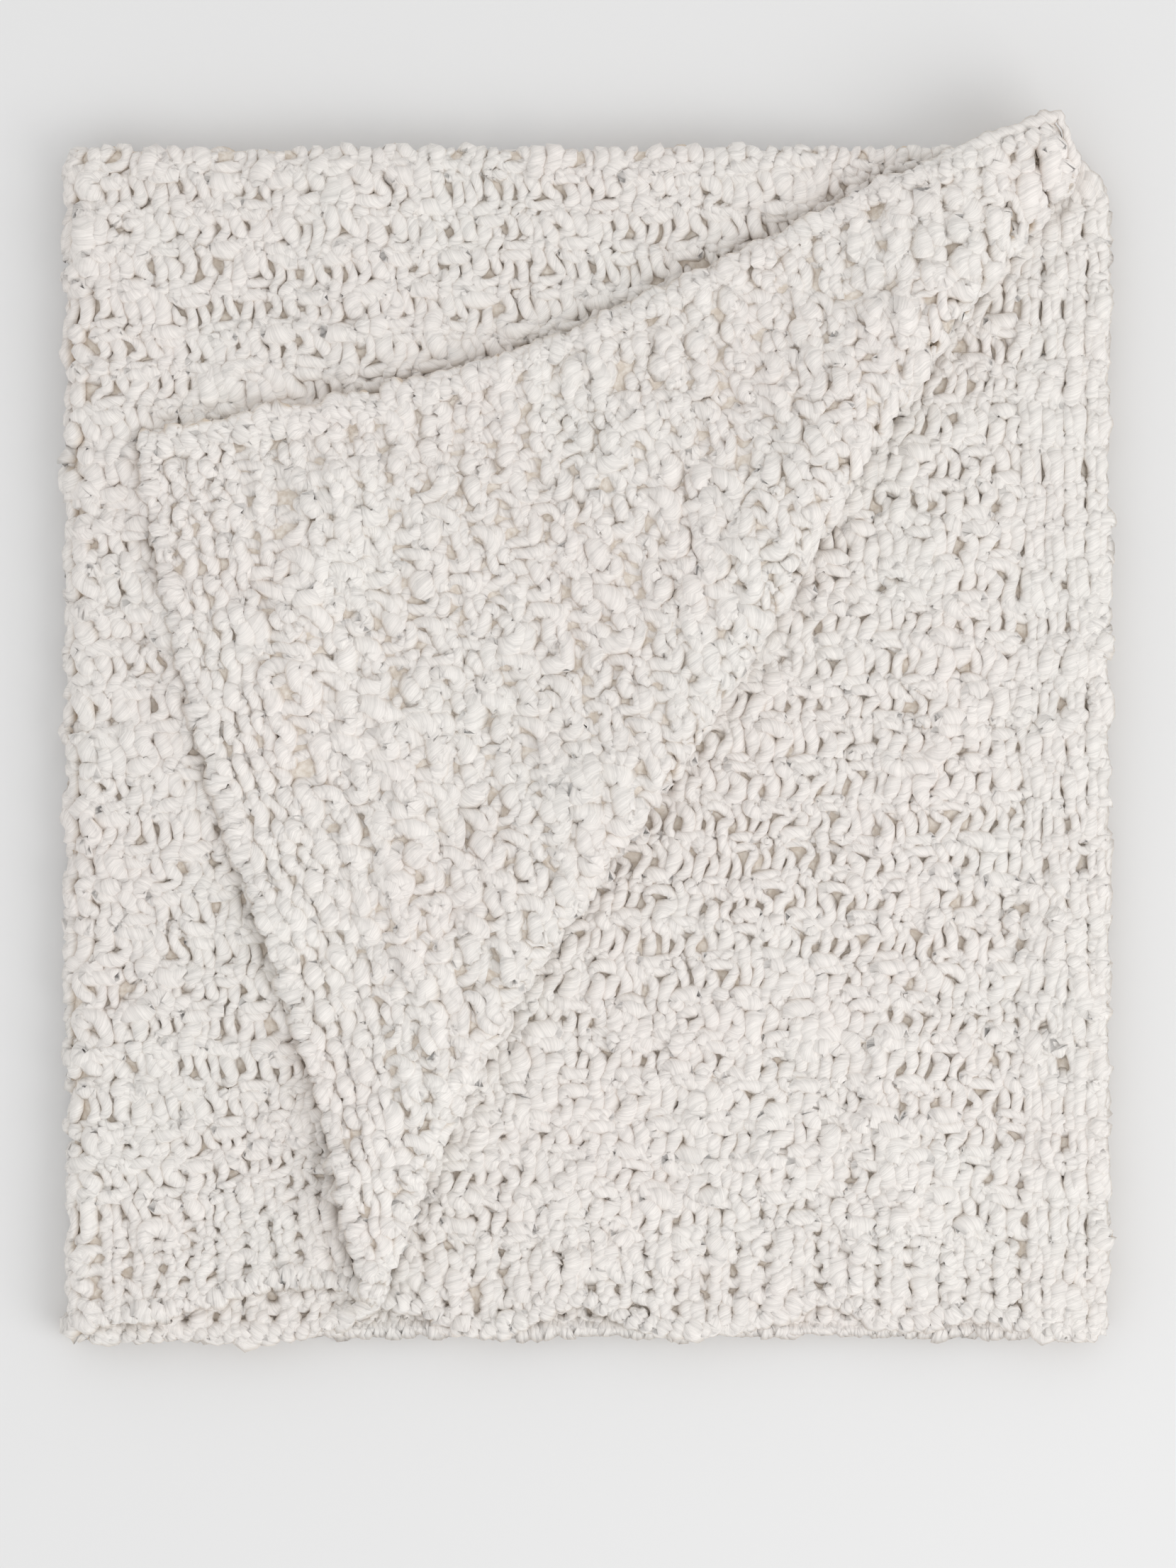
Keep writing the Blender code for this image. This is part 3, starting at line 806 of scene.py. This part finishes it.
def slub_cotton():
    """Ivory slub cotton yarn, spun thick and thin: soft and matt, two plies twist round each other with
    fibres along them, with painted shade in the grooves between the plies. Its side towards the ground is
    painted darker and warmer: painted shade of the light that bounces between the loops."""
    material = bpy.data.materials.new("slub_cotton_yarn")
    material.use_nodes = True
    tree = material.node_tree
    tree.nodes.clear()
    place = add(tree, "ShaderNodeTexCoord")
    uv = add(tree, "ShaderNodeSeparateXYZ", _0=place.outputs["UV"])
    length, girth = uv.outputs[0], uv.outputs[1]
    turns = add(tree, "ShaderNodeMath", {"operation": "MULTIPLY_ADD", 1: TWIST}, _0=length, _2=girth)
    angle = add(tree, "ShaderNodeMath", {"operation": "MULTIPLY", 1: 2 * math.pi}, _0=turns.outputs[0])
    cos = add(tree, "ShaderNodeMath", {"operation": "COSINE"}, _0=angle.outputs[0])
    sin = add(tree, "ShaderNodeMath", {"operation": "SINE"}, _0=angle.outputs[0])
    helix = add(tree, "ShaderNodeCombineXYZ", _0=cos.outputs[0], _1=sin.outputs[0], _2=length)
    noise = {"Scale": 5.0, "Detail": 4.0, "Roughness": 0.7}
    fibres = add(tree, "ShaderNodeTexNoise", noise, Vector=helix.outputs[0])
    plies = add(tree, "ShaderNodeMath", {"operation": "ABSOLUTE"}, _0=cos.outputs[0])
    broad = {"Scale": 14.0, "Detail": 2.0}  # tints that change over about 70 mm
    patch = add(tree, "ShaderNodeTexNoise", broad, Vector=place.outputs["Object"])
    tint = add(tree, "ShaderNodeValToRGB", _0=patch.outputs["Fac"])
    tint.color_ramp.elements[0].position, tint.color_ramp.elements[0].color = 0.35, linear("#F8F4EF")
    tint.color_ramp.elements[1].position, tint.color_ramp.elements[1].color = 0.65, linear("#F9F3EE")
    streak = add(tree, "ShaderNodeMapRange", {1: 0.34, 2: 0.60, 3: 0.82, 4: 1.0}, _0=fibres.outputs["Fac"])
    # Painted shade: the yarn is painted up to 8% darker in the grooves between its two plies, where shade falls
    groove_painted_shade = add(tree, "ShaderNodeMapRange", {1: 0.0, 2: 0.45, 3: 0.92, 4: 1.0}, _0=plies.outputs[0])
    dark = add(tree, "ShaderNodeMath", {"operation": "MULTIPLY"}, _0=streak.outputs[0], _1=groove_painted_shade.outputs[0])
    shade = add(tree, "ShaderNodeMix", {"data_type": "RGBA", "blend_type": "MULTIPLY", "Factor": 1.0})
    tree.links.new(tint.outputs[0], shade.inputs[6])
    tree.links.new(dark.outputs[0], shade.inputs[7])
    # Painted shade: the side of the yarn that faces the ground is painted #E8DCCC, darker and warmer than its
    # white top, for the light that bounces between the loops
    round_yarn = add(tree, "ShaderNodeMath", {"operation": "MULTIPLY", 1: 2 * math.pi}, _0=girth)
    front = add(tree, "ShaderNodeMath", {"operation": "SINE"}, _0=round_yarn.outputs[0])
    outside = add(tree, "ShaderNodeMapRange", {1: -0.7, 2: 0.5, 3: 0.0, 4: 1.0}, _0=front.outputs[0])
    depth = add(tree, "ShaderNodeValToRGB", _0=outside.outputs[0])
    depth.color_ramp.elements[0].color = linear("#E8DCCC")
    depth.color_ramp.elements[1].color = linear("#FFFFFF")
    painted_warm_shade = add(tree, "ShaderNodeMix", {"data_type": "RGBA", "blend_type": "MULTIPLY", "Factor": 1.0})
    tree.links.new(shade.outputs[2], painted_warm_shade.inputs[6])
    tree.links.new(depth.outputs[0], painted_warm_shade.inputs[7])
    fine = fibres.outputs["Fac"]
    relief = add(tree, "ShaderNodeMath", {"operation": "MULTIPLY_ADD", 1: 0.5}, _0=fine, _2=plies.outputs[0])
    bump = add(tree, "ShaderNodeBump", {"Strength": 0.6, "Distance": 0.0014}, Height=relief.outputs[0])
    shader = add(
        tree,
        "ShaderNodeBsdfPrincipled",
        {
            "Roughness": 0.95,
            "Sheen Weight": 0.15,
            "Sheen Roughness": 0.6,
            "Specular IOR Level": 0.15,
        },
        Base_Color=painted_warm_shade.outputs[2],
        Normal=bump.outputs[0],
    )
    add(tree, "ShaderNodeOutputMaterial", Surface=shader.outputs[0])
    return material


def shaded_knit():
    """The inner yarn between the loops, seen in shade: the same cotton, darker and coarser."""
    material = bpy.data.materials.new("shaded_cotton_knit")
    material.use_nodes = True
    tree = material.node_tree
    tree.nodes.clear()
    place = add(tree, "ShaderNodeTexCoord")
    coarse = {"Scale": 260.0, "Detail": 2.0}  # lumps of about 4 mm, as of yarn that lies deeper
    lumps = add(tree, "ShaderNodeTexNoise", coarse, Vector=place.outputs["Object"])
    tint = add(tree, "ShaderNodeValToRGB", _0=lumps.outputs["Fac"])
    tint.color_ramp.elements[0].position, tint.color_ramp.elements[0].color = 0.35, linear("#D6CBBE")
    tint.color_ramp.elements[1].position, tint.color_ramp.elements[1].color = 0.65, linear("#ECE5DC")
    bump = add(tree, "ShaderNodeBump", {"Strength": 0.7, "Distance": 0.002}, Height=lumps.outputs["Fac"])
    shader = add(
        tree,
        "ShaderNodeBsdfPrincipled",
        {"Roughness": 0.95, "Specular IOR Level": 0.1},
        Base_Color=tint.outputs[0],
        Normal=bump.outputs[0],
    )
    add(tree, "ShaderNodeOutputMaterial", Surface=shader.outputs[0])
    return material


def studio():
    """A pale floor, a softbox at the lower right and an even sky."""
    bpy.ops.mesh.primitive_plane_add(size=FLOOR_SIZE, location=(0, 0, -FLOOR_DROP))
    floor = bpy.context.object
    floor.name = "floor"
    paper = bpy.data.materials.new("matt_paper")
    paper.use_nodes = True
    tree = paper.node_tree
    shader = tree.nodes["Principled BSDF"]
    place = add(tree, "ShaderNodeTexCoord")
    grain = add(tree, "ShaderNodeTexNoise", {"Scale": 3.0}, Vector=place.outputs["Object"])
    tint = add(tree, "ShaderNodeValToRGB", _0=grain.outputs["Fac"])
    tint.color_ramp.elements[0].color = linear("#E5E5E5")
    tint.color_ramp.elements[1].color = linear("#E6E6E6")
    tree.links.new(tint.outputs[0], shader.inputs["Base Color"])
    shader.inputs["Roughness"].default_value = 1.0
    shader.inputs["Specular IOR Level"].default_value = 0.0
    floor.data.materials.append(paper)
    lamp = bpy.data.objects.new("softbox", bpy.data.lights.new("softbox", "AREA"))
    lamp.data.size = LAMP_SIZE
    lamp.data.energy = LAMP_POWER
    lamp.location = LAMP_PLACE
    lamp.rotation_euler = Vector(LAMP_PLACE).to_track_quat("Z", "Y").to_euler()
    bpy.context.scene.collection.objects.link(lamp)
    world = bpy.data.worlds.new("sky")
    world.use_nodes = True
    sky = world.node_tree.nodes["Background"]
    sky.inputs["Color"].default_value = (1, 1, 1, 1)
    sky.inputs["Strength"].default_value = SKY
    bpy.context.scene.world = world
    bpy.context.scene.view_settings.view_transform = "Standard"


def camera():
    """Straight above, with the photograph's frame at the height of the top layer."""
    lens = bpy.data.cameras.new("camera")
    lens.sensor_fit = "VERTICAL"
    lens.sensor_height = SENSOR
    lens.lens = SENSOR * VIEW_DISTANCE / (PHOTO_HEIGHT * PIXEL)
    eye = bpy.data.objects.new("camera", lens)
    eye.location = (VIEW_X, VIEW_Y, VIEW_DISTANCE + STACK)
    bpy.context.scene.collection.objects.link(eye)
    bpy.context.scene.camera = eye


def main():
    camera()
    studio()
    sheet = ground(shaded_knit())
    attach(sheet, "root")
    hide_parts("throw")
    yarn = knit(slub_cotton())


main()
